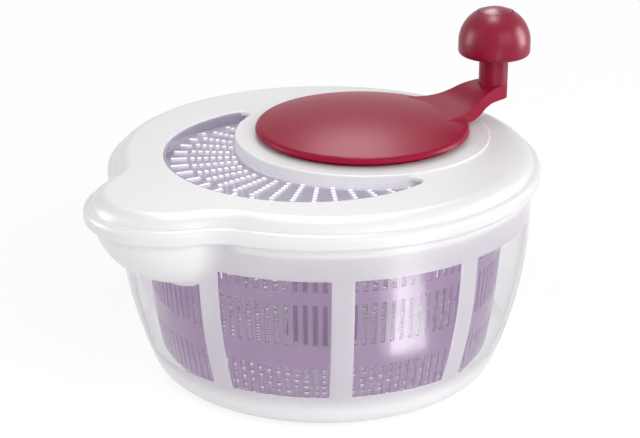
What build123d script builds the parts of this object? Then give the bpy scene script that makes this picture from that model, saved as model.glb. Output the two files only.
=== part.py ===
from build123d import *
import os
from math import acos, atan2, cos, degrees, pi, radians, sin, sqrt, tan

# Salad spinner, in millimetres. The origin is on the table under the middle of the bowl.
# +Z is up, the spout points along -X, and the crank's axis stands off the bowl's axis along +X.

# Fits
SEAT_GAP = 0.05  # round a piece that is fixed in another
RUN_GAP = 0.05  # round a turning shaft
END_PLAY = 0.3  # along a turning shaft
FREE_GAP = 1.0  # between pieces that pass each other

# Bowl
BOWL_H = 118.0  # table to rim
BOWL_R = 121.6  # widest outside radius
BOWL_WIDE_DROP = 14.0  # rim down to the widest place
BOWL_SIDE_R = 248.0  # curve of the side in section
BOWL_CORNER_R = 15.0
BOWL_WALL = 2.2
BOWL_FLOOR = 3.0
FOOT_H = 1.0  # how far the soft ring stands proud
FOOT_SINK = 1.2  # depth of its groove
FOOT_R = 82.0
FOOT_W = 8.0

# Clear windows in the frosted side
WINDOWS = 10
WINDOW_BAR = 11.5
WINDOW_LOW = 24.0  # table to lower edge
WINDOW_DROP = 18.0  # rim to upper edge
WINDOW_DEPTH = 0.3
WINDOW_CORNER_R = 4.0

# Spout, as the lid's rim shows it from above
SPOUT_REACH = 33.0  # past the round rim
SPOUT_LOBE_R = 48.0
SPOUT_BLEND_R = 30.0
SPOUT_DEPTH = 33.0
SPOUT_SINK = 0.6  # how deep the blend starts in the side
SPOUT_STEPS = 5

# Lid
LID_OVERHANG = 4.4  # rim past the bowl's side
LID_BEAD_H = 9.0
LID_BEAD_R = 3.5
LID_BEAD_LOW_R = 2.0
LID_STEP = 3.8  # rim in to the side above it
LID_H = 15.8
LID_SHOULDER_R = 9.0
LID_SKIN = 2.4
LIP_GAP = 0.6  # inside the bowl's wall
LIP_W = 2.0
LIP_DEPTH = 6.0
LIP_WEB = 2.4

# Crescent hole and the drum beside it
CRESCENT_R = 83.4
CRESCENT_SHIFT = 12.5  # towards the spout
CRESCENT_TIP_R = 7.0
CRESCENT_EDGE_R = 0.8
DRUM_R = 75.5
DRUM_WALL = 2.2
DRUM_DEPTH = 22.2
PLATEAU_STEP = 1.4
PLATEAU_EDGE_R = 0.8
PLATE_T = 3.0

# Sieve in the crescent
SIEVE_DROP = 7.0  # below the plateau
SIEVE_T = 1.5
SIEVE_WALL = 1.5
SIEVE_RIM = 2.5  # plain floor along the walls
SIEVE_RAYS = 40  # a turn of the bowl's axis
SIEVE_RINGS = 7
SIEVE_HOLE = 2.2
SIEVE_STEP = 4.0
SIEVE_HOLES_R = 76.6  # outermost ring of square holes
SIEVE_SLOTS = 45  # a turn of the bowl's axis
SIEVE_SLOTS_R = 80.0  # inner ends of the slots

# Gears
MODULE = 2.0
RING_TEETH = 45
PINION_TEETH = 15
PRESSURE_ANGLE = 20.0
ADDENDUM = 1.6
DEDENDUM = 2.0
BACKLASH = 0.3
GEAR_W = 9.0
RING_RIM = 4.5
RING_FLANGE_W = 4.7
RING_FLANGE_T = 2.5

# Bearings on the gear plate
AXLE_R = 7.0
SHAFT_R = 5.0
BUSH_WALL = 2.5
BUSH_FLANGE = 2.0
BUSH_FLANGE_T = 1.5
BOSS_WALL = 3.0
BOSS_UP = 4.0  # above the plate
BOSS_DOWN = 5.0  # below the plate
COLLAR_H = 1.0  # under the pinion's teeth

# Crank
DISC_R = 63.4
DISC_GAP = 2.6  # above the plateau
DISC_EDGE_H = 0.4
DISC_EDGE_R = 3.0
DISC_RISE = 11.0
DISC_SKIN = 2.4
SKIRT_WALL = 2.0
SKIRT_DEPTH = 6.4  # below the disc's edge
AXLE_SHOULDER = 3.0
ARM_TURN = -15.0  # degrees from +X
ARM_LENGTH = 89.0  # crank's axis to the knob's axis
ARM_CREASE_R = 50.0
ARM_ROOT_W = 52.0
ARM_RISE = 10.4
ARM_RUN = 40.0  # length of the rise
ARM_T = 9.0
ARM_SKIN = 2.5
ARM_FOOT_GAP = 1.0  # crease to the start of the rise, and disc's edge to that of the underside
ARM_SOLID = 22.0  # end of the arm that isn't hollow

# Knob
NECK_R = 8.8
NECK_H = 17.8
TENON_R = 5.0
SPIGOT_R = 6.0
SPIGOT_H = 15.0
KNOB_R = 21.8
KNOB_SIDE_H = 4.0
KNOB_H = 30.0
KNOB_EDGE_R = 2.5
CROWN_STEPS = 4
KNOB_CAP_R = 10.5
KNOB_CAP_T = 2.5
KNOB_WASHER_LAP = 2.3  # washer past the spigot
POCKET_GAP = 0.5  # round the washer

# Basket
BASKET_GAP = 13.1  # to the bowl's wall
BASKET_WALL = 1.8
BASKET_FLOOR = 2.0
BASKET_LIFT = 9.0  # above the bowl's floor
BASKET_DROP = 8.0  # below the bowl's rim
BASKET_RIM_W = 3.7
BASKET_RIM_T = 2.0
SHOULDER_IN = 1.0  # inset of the wall at the top of the middle row
WAIST_IN = 4.5  # inset at the top of the low row
HEEL_IN = 8.3  # inset just above the floor
HEEL_H = 3.0
HEEL_LEAN = 1.0  # of the wall's inside, over the heel's height
LOW_ROW_H = 22.0
TOP_ROW_H = 15.0
LOW_BAND = 13.0  # plain wall above the low row
TOP_BAND = 12.0  # plain wall below the top row
SLOTS = 90
SLOT_W = 2.7
SLOT_REST = 1.0  # plain wall between a row's upper end and the next change of slope
FLOOR_RAYS = 24
FLOOR_RINGS = 4
FLOOR_HOLE = 4.0
FLOOR_HOLE_STEP = 10.0
FLOOR_RIM = 9.0  # plain floor outside the holes

# Column and pivot
COLUMN_FOOT_R = 23.0
COLUMN_TOP_R = 13.5
COLUMN_WALL = 2.2
COLUMN_FOOT_WALL = 4.4
SOCKET_GAP = 0.4
SOCKET_DEPTH = 12.0
DOG_FLATS = 16.0
DOG_H = 15.5
DOG_ABOVE = 4.5  # dog above the column's top
DOG_LEAD = 1.5
TENON_SIDE = 6.0
TENON_H = 6.0
DOG_WEB = 5.0  # between the tenon and the screw's head
PIVOT_R = 3.0
PIVOT_STAND = 9.0
PIVOT_SINK = 6.5
PIVOT_BOSS_H = 5.0
PIVOT_BOSS_WALL = 4.0
PIVOT_BUSH_WALL = 3.5
PIVOT_BUSH_ROOF = 3.0

# Screws
SCREW_R = 2.0
SCREW_HEAD_R = 4.0
SCREW_HEAD_H = 2.6
SCREW_BITE = 9.0
WASHER_T = 1.2
WASHER_OVERLAP = 3.5  # past the shaft that it holds
SMALL_SCREW_R = 1.2
SMALL_HEAD_R = 2.1
SMALL_HEAD_H = 1.6
SMALL_BITE = 5.0
GEAR_SCREWS = 3
PLATE_SCREWS = 4
FIRST_SCREW = 45.0  # degrees from +X
SCREW_BOSS_WALL = 2.0

# Heights worked out from the sizes above
FLOOR_Z = FOOT_H + BOWL_FLOOR
WIDE_Z = BOWL_H - BOWL_WIDE_DROP
LID_TOP_Z = BOWL_H + LID_H
PLATEAU_Z = LID_TOP_Z + PLATEAU_STEP
DRUM_Z = PLATEAU_Z - DRUM_DEPTH
PLATE_TOP_Z = DRUM_Z + PLATE_T
BUSH_TOP_Z = PLATE_TOP_Z + BOSS_UP + BUSH_FLANGE_T
BUSH_LOW_Z = DRUM_Z - BOSS_DOWN
SHAFT_END_Z = BUSH_LOW_Z - END_PLAY
GEAR_Z = BUSH_TOP_Z + COLLAR_H
RING_SEAT_Z = GEAR_Z + GEAR_W + RING_FLANGE_T
DISC_Z = PLATEAU_Z + DISC_GAP
DISC_EDGE_Z = DISC_Z + DISC_EDGE_H
APEX_Z = DISC_EDGE_Z + DISC_RISE
BASKET_Z = FLOOR_Z + BASKET_LIFT
BASKET_FLOOR_Z = BASKET_Z + BASKET_FLOOR
BASKET_TOP_Z = BOWL_H - BASKET_DROP
BASKET_RIM_Z = BASKET_TOP_Z - BASKET_RIM_T
DOG_Z = SHAFT_END_Z - DOG_H
COLUMN_TOP_Z = SHAFT_END_Z - DOG_ABOVE
PIVOT_BOSS_Z = FLOOR_Z + PIVOT_BOSS_H
PIVOT_TOP_Z = PIVOT_BOSS_Z + PIVOT_STAND

# Radii and places worked out from the sizes above
RIM_R = BOWL_R + LID_OVERHANG
BOWL_INSIDE_R = BOWL_R - BOWL_WALL
LOBE_X = RIM_R + SPOUT_REACH - SPOUT_LOBE_R
RING_R = MODULE * RING_TEETH / 2
PINION_R = MODULE * PINION_TEETH / 2
CRANK_X = RING_R - PINION_R
RING_OUT_R = RING_R + DEDENDUM + RING_RIM
FLANGE_OUT_R = RING_OUT_R + RING_FLANGE_W
GEAR_SCREW_R = RING_OUT_R + RING_FLANGE_W / 2
SKIRT_IN_R = FLANGE_OUT_R + SEAT_GAP
SKIRT_R = SKIRT_IN_R + SKIRT_WALL
OPENING_R = SKIRT_R + FREE_GAP
PLATE_SCREW_RING_R = (OPENING_R + DRUM_R - DRUM_WALL) / 2
BASKET_R = BOWL_INSIDE_R - BASKET_GAP
PIVOT_BUSH_R = PIVOT_R + RUN_GAP + PIVOT_BUSH_WALL
HUB_R = PIVOT_BUSH_R + SEAT_GAP + COLUMN_WALL
DOME_RUN = DISC_R - DISC_EDGE_R
DOME_R = (DOME_RUN**2 + DISC_RISE**2 - DISC_EDGE_R**2) / (2 * (DISC_RISE - DISC_EDGE_R))
ARM_LOW_Z = APEX_Z - DOME_R + sqrt(DOME_R**2 - ARM_CREASE_R**2)
ARM_TOP_Z = ARM_LOW_Z + ARM_RISE
ARM_UNDER_Z = ARM_TOP_Z - ARM_T
NECK_TOP_Z = ARM_TOP_Z + NECK_H
SPIGOT_TOP_Z = NECK_TOP_Z + SPIGOT_H
KNOB_TOP_Z = NECK_TOP_Z + KNOB_H
KNOB_WASHER_R = SPIGOT_R + KNOB_WASHER_LAP
KNOB_POCKET_R = KNOB_WASHER_R + POCKET_GAP
KNOB_CAP_FALL = (KNOB_H - KNOB_SIDE_H) * (1 - sqrt(1 - (KNOB_CAP_R / KNOB_R) ** 2))
KNOB_CAP_Z = KNOB_TOP_Z - KNOB_CAP_FALL - KNOB_CAP_T
ARM_ROOT_X = sqrt(ARM_CREASE_R**2 - (ARM_ROOT_W / 2) ** 2)
DOG_SCREW_Z = SHAFT_END_Z - TENON_H - DOG_WEB

CRANK_AXIS = Pos(CRANK_X, 0, 0)
ARM_FRAME = CRANK_AXIS * Rot(0, 0, ARM_TURN)
KNOB_AXIS = ARM_FRAME * Pos(ARM_LENGTH, 0, 0)


def at(radius, height):
    """Point of a half section, in the XZ plane."""
    return Vector(radius, 0, height)


def polar(radius, angle):
    """Point of a plan, in the XY plane."""
    return Vector(radius * cos(angle), radius * sin(angle))


def arc_about(centre, start, end):
    """Arc of under half a turn about a centre."""
    first, last = start - centre, end - centre
    return ThreePointArc(start, centre + (first + last).normalized() * first.length, end)


def chain(*points):
    """Straight edges from point to point."""
    return [Line(a, b) for a, b in zip(points, points[1:])]


def turned(edges):
    """Solid of revolution about Z of a closed half section."""
    return revolve(make_face(edges), Axis.Z)


def turned_outline(*points):
    """Solid of revolution about Z of straight-sided half section."""
    return turned(chain(*[at(*p) for p in points], at(*points[0])))


def rod(radius, low, high):
    """Upright cylinder on the Z axis between two heights."""
    return Pos(0, 0, low) * extrude(Circle(radius), high - low)


def tube(outer, inner, low, high):
    """Upright tube on the Z axis between two heights."""
    return rod(outer, low, high) - rod(inner, low, high)


def mirrored(point):
    """The same point on the other side of the spout's axis."""
    return Vector(point.X, -point.Y, point.Z)


def lobe_edges(main, lobe, lobe_x, blend, height):
    """Blend, lobe and blend of an outline with a round lobe towards -X."""
    reach = main + blend
    turn = acos((reach**2 + lobe_x**2 - (lobe + blend) ** 2) / (2 * lobe_x * reach))
    hollow = Vector(-reach * cos(turn), reach * sin(turn), height)
    centre = Vector(-lobe_x, 0, height)
    on_main = Vector(-main * cos(turn), main * sin(turn), height)
    on_lobe = centre + (hollow - centre).normalized() * lobe
    tip = Vector(-lobe_x - lobe, 0, height)
    return [
        arc_about(hollow, on_main, on_lobe),
        ThreePointArc(on_lobe, tip, mirrored(on_lobe)),
        arc_about(mirrored(hollow), mirrored(on_lobe), mirrored(on_main)),
    ], on_main


def rim_outline(inset):
    """Plan of the lid's rim, round with the spout's lobe, moved inwards by an inset."""
    main = RIM_R - inset
    edges, on_main = lobe_edges(main, SPOUT_LOBE_R - inset, LOBE_X, SPOUT_BLEND_R + inset, 0)
    return make_face([*edges, ThreePointArc(mirrored(on_main), Vector(main, 0), on_main)])


def rim_slab(inset, low, high):
    """Upright slab with the rim's plan between two heights."""
    return Pos(0, 0, low) * extrude(rim_outline(inset), high - low)


def side_radius(inset, height):
    """Radius of the bowl's side at a height, moved inwards by an inset."""
    curve = BOWL_SIDE_R - inset
    drop = max(WIDE_Z - height, 0)
    return BOWL_R - BOWL_SIDE_R + sqrt(curve**2 - drop**2)


def bowl_form(inset, floor_z):
    """Filled form of the bowl's round body up to the rim, moved inwards by an inset."""
    curve, corner = BOWL_SIDE_R - inset, BOWL_CORNER_R - inset
    side_centre = at(BOWL_R - BOWL_SIDE_R, WIDE_Z)
    fall = WIDE_Z - floor_z - corner
    knee = at(side_centre.X + sqrt((curve - corner) ** 2 - fall**2), floor_z + corner)
    heel = side_centre + (knee - side_centre).normalized() * curve
    foot = at(knee.X, floor_z)
    wide, rim = at(BOWL_R - inset, WIDE_Z), at(BOWL_R - inset, BOWL_H)
    return turned(
        [
            arc_about(knee, foot, heel),
            arc_about(side_centre, heel, wide),
            *chain(wide, rim, at(0, BOWL_H), at(0, floor_z), foot),
        ]
    )


def spout_form(inset):
    """Filled scoop of the spout under the rim, moved inwards by an inset."""
    depth = SPOUT_DEPTH - inset
    lobe_top = SPOUT_LOBE_R - LID_OVERHANG - inset
    sections = []
    for step in range(SPOUT_STEPS + 1):
        angle = pi / 2 * step / SPOUT_STEPS
        height = BOWL_H - depth * sin(angle)
        sink = SPOUT_SINK + 2 * BOWL_WALL * sin(angle)
        main = side_radius(inset, height) - sink
        reach = sink / 2 + (SPOUT_REACH - sink / 2) * cos(angle)
        lobe = lobe_top * (1 + cos(angle)) / 2
        edges, on_main = lobe_edges(main, lobe, main + reach - lobe, SPOUT_BLEND_R, height)
        sections.append(make_face([*edges, Line(mirrored(on_main), on_main)]))
    return loft(sections)


def window_recess():
    """Shallow recesses of the clear windows, on the outside of the bowl's side."""
    low, high = WINDOW_LOW, BOWL_H - WINDOW_DROP
    half_low, half_high = [side_radius(0, z) * sin(pi / WINDOWS) - WINDOW_BAR / 2 for z in (low, high)]
    foot, head = Vector(half_low, low), Vector(half_high, high)
    pane = make_face(chain(foot, head, Vector(-half_high, high), Vector(-half_low, low), foot))
    pane = fillet(pane.vertices(), WINDOW_CORNER_R)
    block = extrude(Plane.YZ * pane, BOWL_R + FREE_GAP)
    inner = bowl_form(WINDOW_DEPTH, FOOT_H)
    return [Rot(0, 0, 360 / WINDOWS * i + 180) * block - inner for i in range(WINDOWS)]


def make_bowl():
    body = bowl_form(0, FOOT_H) - window_recess() + spout_form(0)
    body = body - bowl_form(BOWL_WALL, FLOOR_Z) - spout_form(BOWL_WALL)
    body += rod(PIVOT_R + PIVOT_BOSS_WALL, FLOOR_Z - BOWL_FLOOR / 2, PIVOT_BOSS_Z)
    body -= rod(PIVOT_R + SEAT_GAP, PIVOT_BOSS_Z - PIVOT_SINK, PIVOT_BOSS_Z)
    return body - tube(
        FOOT_R + FOOT_W / 2 + SEAT_GAP, FOOT_R - FOOT_W / 2 - SEAT_GAP, FOOT_H, FOOT_H + FOOT_SINK
    )


def make_foot_ring():
    return tube(FOOT_R + FOOT_W / 2, FOOT_R - FOOT_W / 2, 0, FOOT_H + FOOT_SINK)


def make_pivot_pin():
    return rod(PIVOT_R, PIVOT_BOSS_Z - PIVOT_SINK, PIVOT_TOP_Z)


def make_pivot_bush():
    low = PIVOT_BOSS_Z + END_PLAY
    body = rod(PIVOT_BUSH_R, low, PIVOT_TOP_Z + PIVOT_BUSH_ROOF)
    return body - rod(PIVOT_R + RUN_GAP, low, PIVOT_TOP_Z)


# Basket

LOW_ROW_Z = BASKET_FLOOR_Z + HEEL_H
WAIST_Z = LOW_ROW_Z + LOW_ROW_H
SHOULDER_Z = BASKET_RIM_Z - TOP_ROW_H - TOP_BAND
TOP_ROW_Z = BASKET_RIM_Z - TOP_ROW_H


def slot_ring(low, high, middle_r):
    """Wedges of one row of slots, with sides that point at the axis."""
    width = degrees(SLOT_W / middle_r)
    reach = Rectangle(BOWL_R, high - low, align=(Align.MIN, Align.MIN))
    face = Plane.XZ * Pos(middle_r - HEEL_IN, low) * reach
    wedge = Rot(0, 0, -width / 2) * revolve(face, Axis.Z, width)
    return [Rot(0, 0, 360 / SLOTS * i) * wedge for i in range(SLOTS)]


def floor_holes():
    """Small square holes in rows that run out from the middle of the floor."""
    first = BASKET_R - HEEL_IN - FLOOR_RIM
    hole = Box(FLOOR_HOLE, FLOOR_HOLE, 3 * BASKET_FLOOR)
    places = []
    for ray in range(FLOOR_RAYS):
        for ring in range(FLOOR_RINGS):
            radius = first - FLOOR_HOLE_STEP * ring
            turn = Rot(0, 0, 360 / FLOOR_RAYS * (ray + 0.5 * (ring % 2)))
            places.append(turn * Pos(radius, 0, BASKET_Z + BASKET_FLOOR / 2) * hole)
    return places


def make_basket():
    heel_r = BASKET_R - HEEL_IN
    waist_r = BASKET_R - WAIST_IN
    shoulder_r = BASKET_R - SHOULDER_IN
    body = turned_outline(
        (HUB_R + SEAT_GAP, BASKET_Z),
        (heel_r - HEEL_H, BASKET_Z),
        (heel_r, LOW_ROW_Z),
        (waist_r, WAIST_Z),
        (shoulder_r, SHOULDER_Z),
        (BASKET_R, BASKET_RIM_Z),
        (BASKET_R + BASKET_RIM_W, BASKET_RIM_Z),
        (BASKET_R + BASKET_RIM_W, BASKET_TOP_Z),
        (BASKET_R - BASKET_WALL, BASKET_TOP_Z),
        (BASKET_R - BASKET_WALL, BASKET_RIM_Z),
        (shoulder_r - BASKET_WALL, SHOULDER_Z),
        (waist_r - BASKET_WALL, WAIST_Z),
        (heel_r - BASKET_WALL, LOW_ROW_Z),
        (heel_r - BASKET_WALL - HEEL_LEAN, BASKET_FLOOR_Z),
        (HUB_R + SEAT_GAP, BASKET_FLOOR_Z),
    )
    rows = [
        slot_ring(LOW_ROW_Z, WAIST_Z - SLOT_REST, (heel_r + waist_r) / 2),
        slot_ring(WAIST_Z + LOW_BAND, SHOULDER_Z - SLOT_REST, (waist_r + shoulder_r) / 2),
        slot_ring(TOP_ROW_Z, BASKET_RIM_Z - SLOT_REST, BASKET_R),
    ]
    return body - [slot for row in rows for slot in row] - floor_holes()


def make_basket_column():
    web_z = PIVOT_TOP_Z + PIVOT_BUSH_ROOF
    web_top_z = web_z + COLUMN_WALL
    socket_z = COLUMN_TOP_Z - SOCKET_DEPTH
    cup_r = COLUMN_TOP_R - COLUMN_WALL
    body = turned_outline(
        (0, web_z),
        (PIVOT_BUSH_R + SEAT_GAP, web_z),
        (PIVOT_BUSH_R + SEAT_GAP, BASKET_Z),
        (HUB_R, BASKET_Z),
        (HUB_R, BASKET_FLOOR_Z),
        (COLUMN_FOOT_R, BASKET_FLOOR_Z),
        (COLUMN_TOP_R, socket_z),
        (COLUMN_TOP_R, COLUMN_TOP_Z),
        (0, COLUMN_TOP_Z),
    )
    hollow = turned_outline(
        (0, web_top_z),
        (COLUMN_FOOT_R - COLUMN_FOOT_WALL, web_top_z),
        (cup_r, socket_z - COLUMN_WALL),
        (0, socket_z - COLUMN_WALL),
    )
    socket = RegularPolygon(DOG_FLATS / 2 + SOCKET_GAP, 6, major_radius=False)
    return body - hollow - Pos(0, 0, socket_z) * extrude(socket, SOCKET_DEPTH)


# Lid

def crescent_outline(inset):
    """Plan of the filling hole, between a round and the drum, with rounded tips, moved inwards by an inset."""
    outer_r, inner_r, tip_r = CRESCENT_R - inset, DRUM_R + inset, CRESCENT_TIP_R - inset
    outer = Vector(-CRESCENT_SHIFT, 0)
    inner = Vector(CRANK_X, 0)
    span = CRANK_X + CRESCENT_SHIFT
    to_outer, to_inner = outer_r - tip_r, inner_r + tip_r
    along = (to_outer**2 - to_inner**2 + span**2) / (2 * span)
    tip = outer + Vector(along, sqrt(to_outer**2 - along**2))
    on_outer = outer + (tip - outer).normalized() * outer_r
    on_inner = inner + (tip - inner).normalized() * inner_r
    far = tip + ((tip - outer).normalized() - (tip - inner).normalized()).normalized() * tip_r
    return make_face(
        [
            ThreePointArc(mirrored(on_outer), outer - Vector(outer_r, 0), on_outer),
            ThreePointArc(on_outer, far, on_inner),
            ThreePointArc(on_inner, inner - Vector(inner_r, 0), mirrored(on_inner)),
            ThreePointArc(mirrored(on_inner), mirrored(far), mirrored(on_outer)),
        ]
    )


def screw_places(count, radius):
    """Evenly spaced places on a ring round the crank's axis."""
    turns = [FIRST_SCREW + 360 / count * i for i in range(count)]
    return [CRANK_AXIS * Rot(0, 0, turn) * Pos(radius, 0, 0) for turn in turns]


def screw(radius, head_r, head_h, length):
    """Plain screw that points up, with the underside of its head at the origin."""
    return rod(head_r, -head_h, 0) + rod(radius, 0, length)


def top_edges(solid):
    """Edges of a solid's highest face."""
    return solid.faces().sort_by(Axis.Z)[-1].edges()


def lid_lip():
    """Lip that centres the lid inside the bowl's rim, left out across the spout."""
    outside = LID_OVERHANG + BOWL_WALL + LIP_GAP
    inside = outside + LIP_W
    low, high = BOWL_H - LIP_DEPTH, BOWL_H + LIP_WEB
    ring = rim_slab(outside, low, high) + rim_slab(LID_STEP, BOWL_H, high)
    mouth_x = lobe_edges(BOWL_R, SPOUT_LOBE_R - LID_OVERHANG, LOBE_X, SPOUT_BLEND_R, 0)[1].X
    keep = Box(2 * RIM_R, 2 * RIM_R, 2 * LID_TOP_Z, align=(Align.MIN, Align.CENTER, Align.CENTER))
    return (ring - rim_slab(inside, low, high)) & Pos(mouth_x + FREE_GAP, 0, 0) * keep


def lid_shell():
    """Rolled rim, side, shoulder and top of the lid, with the crescent cut through it."""
    bead = rim_slab(0, BOWL_H, BOWL_H + LID_BEAD_H)
    bead = fillet(top_edges(bead), LID_BEAD_R)
    bead = fillet(bead.faces().sort_by(Axis.Z)[0].edges(), LID_BEAD_LOW_R)
    side = rim_slab(LID_STEP, BOWL_H, LID_TOP_Z)
    side = fillet(top_edges(side), LID_SHOULDER_R)
    room = rim_slab(LID_STEP + LID_SKIN, BOWL_H, LID_TOP_Z - LID_SKIN)
    room = fillet(top_edges(room), LID_SHOULDER_R - LID_SKIN)
    hole = Pos(0, 0, BOWL_H) * extrude(crescent_outline(0), LID_H)
    shell = bead + side - room - hole
    rounds = [e for e in shell.edges().filter_by(GeomType.CIRCLE) if e.center().Z > LID_TOP_Z - SEAT_GAP]
    brim = [e for e in rounds if abs(e.radius - CRESCENT_R) < SEAT_GAP]
    return fillet(brim, CRESCENT_EDGE_R)


def make_lid():
    drum = fillet(top_edges(CRANK_AXIS * rod(DRUM_R, DRUM_Z, PLATEAU_Z)), PLATEAU_EDGE_R)
    drum -= CRANK_AXIS * rod(DRUM_R - DRUM_WALL, DRUM_Z, PLATEAU_Z - LID_SKIN)
    posts = screw_places(PLATE_SCREWS, PLATE_SCREW_RING_R)
    drum += [p * rod(SCREW_R + SCREW_BOSS_WALL, PLATE_TOP_Z, PLATEAU_Z - LID_SKIN / 2) for p in posts]
    pilots = [p * rod(SCREW_R + SEAT_GAP, PLATE_TOP_Z, PLATE_TOP_Z + SCREW_BITE) for p in posts]
    middle = CRANK_AXIS * rod(DRUM_R - DRUM_WALL, DRUM_Z, PLATEAU_Z - LID_SKIN)
    opening = CRANK_AXIS * rod(OPENING_R, DRUM_Z, PLATEAU_Z)
    return lid_shell() + lid_lip() - middle - opening + drum - opening - pilots


def sieve_holes(basin_r, low):
    """Square holes of the sieve in rows that point at the bowl's axis, kept off its walls."""
    hole = Box(SIEVE_HOLE, SIEVE_HOLE, 3 * SIEVE_T)
    clear_r = DRUM_R + SEAT_GAP + SIEVE_RIM
    places = []
    for ray in range(SIEVE_RAYS):
        for ring in range(SIEVE_RINGS):
            spot = polar(SIEVE_HOLES_R - SIEVE_STEP * ring, 2 * pi * ray / SIEVE_RAYS)
            off_wall = (spot + Vector(CRESCENT_SHIFT, 0)).length < basin_r - SIEVE_RIM
            off_drum = (spot - Vector(CRANK_X, 0)).length > clear_r
            if off_wall and off_drum:
                turn = Rot(0, 0, degrees(atan2(spot.Y, spot.X)))
                places.append(Pos(spot.X, spot.Y, low + SIEVE_T / 2) * turn * hole)
    return places


def sieve_slots(basin_r, low):
    """Slots of the sieve from its square holes out towards its wall."""
    places = []
    for i in range(SIEVE_SLOTS):
        turn = 2 * pi * i / SIEVE_SLOTS
        across = CRESCENT_SHIFT * sin(turn)
        end = sqrt((basin_r - SIEVE_RIM) ** 2 - across**2) - CRESCENT_SHIFT * cos(turn)
        length = end - SIEVE_SLOTS_R
        if length > SIEVE_HOLE:
            slot = Box(length, SIEVE_HOLE, 3 * SIEVE_T, align=(Align.MIN, Align.CENTER, Align.CENTER))
            places.append(Rot(0, 0, degrees(turn)) * Pos(SIEVE_SLOTS_R, 0, low + SIEVE_T / 2) * slot)
    return places


def make_inlet_sieve():
    floor_z, high = PLATEAU_Z - SIEVE_DROP, LID_TOP_Z - CRESCENT_EDGE_R
    low = floor_z - SIEVE_T
    basin_r = CRESCENT_R - SEAT_GAP - SIEVE_WALL
    body = Pos(0, 0, low) * extrude(crescent_outline(SEAT_GAP), high - low)
    body -= Pos(-CRESCENT_SHIFT, 0, 0) * rod(basin_r, floor_z, high)
    return body - sieve_holes(basin_r, low) - sieve_slots(basin_r, low)


# Bearings under the lid

def bush(shaft_r):
    """Flanged bush that stands in the gear plate, on the Z axis."""
    outside = shaft_r + RUN_GAP + BUSH_WALL
    body = rod(outside, BUSH_LOW_Z, BUSH_TOP_Z)
    body += rod(outside + BUSH_FLANGE, BUSH_TOP_Z - BUSH_FLANGE_T, BUSH_TOP_Z)
    return body - rod(shaft_r + RUN_GAP, BUSH_LOW_Z, BUSH_TOP_Z)


def make_axle_bush():
    return CRANK_AXIS * bush(AXLE_R)


def make_pinion_bush():
    return bush(SHAFT_R)


def make_gear_plate():
    plate = CRANK_AXIS * rod(DRUM_R - DRUM_WALL - SEAT_GAP, DRUM_Z, PLATE_TOP_Z)
    for place, shaft_r in ((CRANK_AXIS, AXLE_R), (Pos(0, 0, 0), SHAFT_R)):
        bore = shaft_r + RUN_GAP + BUSH_WALL + SEAT_GAP
        high = PLATE_TOP_Z + BOSS_UP
        plate += place * rod(bore + BOSS_WALL, BUSH_LOW_Z, high)
        plate -= place * rod(bore, BUSH_LOW_Z, high)
    places = screw_places(PLATE_SCREWS, PLATE_SCREW_RING_R)
    return plate - [p * rod(SCREW_R + SEAT_GAP, DRUM_Z, PLATE_TOP_Z) for p in places]


def make_plate_screws():
    one = Pos(0, 0, DRUM_Z) * screw(SCREW_R, SCREW_HEAD_R, SCREW_HEAD_H, PLATE_T + SCREW_BITE)
    return Compound([p * one for p in screw_places(PLATE_SCREWS, PLATE_SCREW_RING_R)])


# Gears

def involute(angle):
    return tan(angle) - angle


def gear_outline(teeth, tip_r, root_r, tooth_w):
    """Gear plan with a tooth on -X, its flanks drawn as arcs through three points of the involute."""
    pitch_r = MODULE * teeth / 2
    pressure = radians(PRESSURE_ANGLE)
    base_r = pitch_r * cos(pressure)
    start_r = max(base_r, root_r)
    half = tooth_w / (2 * pitch_r) + involute(pressure)
    spread = {r: half - involute(acos(base_r / r)) for r in (start_r, (start_r + tip_r) / 2, tip_r)}
    edges = []
    for i in range(teeth):
        middle = pi + 2 * pi * i / teeth
        rise = [polar(r, middle - spread[r]) for r in spread]
        fall = [polar(r, middle + spread[r]) for r in reversed(spread)]
        root_in = polar(root_r, middle - spread[start_r])
        root_out = polar(root_r, middle + spread[start_r])
        root_next = polar(root_r, middle + 2 * pi / teeth - spread[start_r])
        if base_r > root_r:
            edges += chain(root_in, rise[0]) + chain(fall[-1], root_out)
        edges += [ThreePointArc(*rise), ThreePointArc(*fall)]
        edges += chain(rise[-1], fall[0]) + chain(root_out, root_next)
    return make_face(edges)


def gear_body(outline, low, high):
    return Pos(0, 0, low) * extrude(outline, high - low)


def make_ring_gear():
    flange_z = RING_SEAT_Z - RING_FLANGE_T
    body = rod(RING_OUT_R, GEAR_Z, RING_SEAT_Z) + rod(FLANGE_OUT_R, flange_z, RING_SEAT_Z)
    spaces = gear_outline(
        RING_TEETH, RING_R + DEDENDUM, RING_R - ADDENDUM, pi * MODULE / 2 + BACKLASH / 2
    )
    body = CRANK_AXIS * (body - gear_body(spaces, GEAR_Z, RING_SEAT_Z))
    places = screw_places(GEAR_SCREWS, GEAR_SCREW_R)
    return body - [p * rod(SMALL_SCREW_R + SEAT_GAP, flange_z, RING_SEAT_Z) for p in places]


def make_gear_screws():
    one = screw(SMALL_SCREW_R, SMALL_HEAD_R, SMALL_HEAD_H, RING_FLANGE_T + SMALL_BITE)
    one = Pos(0, 0, RING_SEAT_Z - RING_FLANGE_T) * one
    return Compound([p * one for p in screw_places(GEAR_SCREWS, GEAR_SCREW_R)])


def square_bar(side, low, high):
    return Pos(0, 0, low) * extrude(Rectangle(side, side), high - low)


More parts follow.
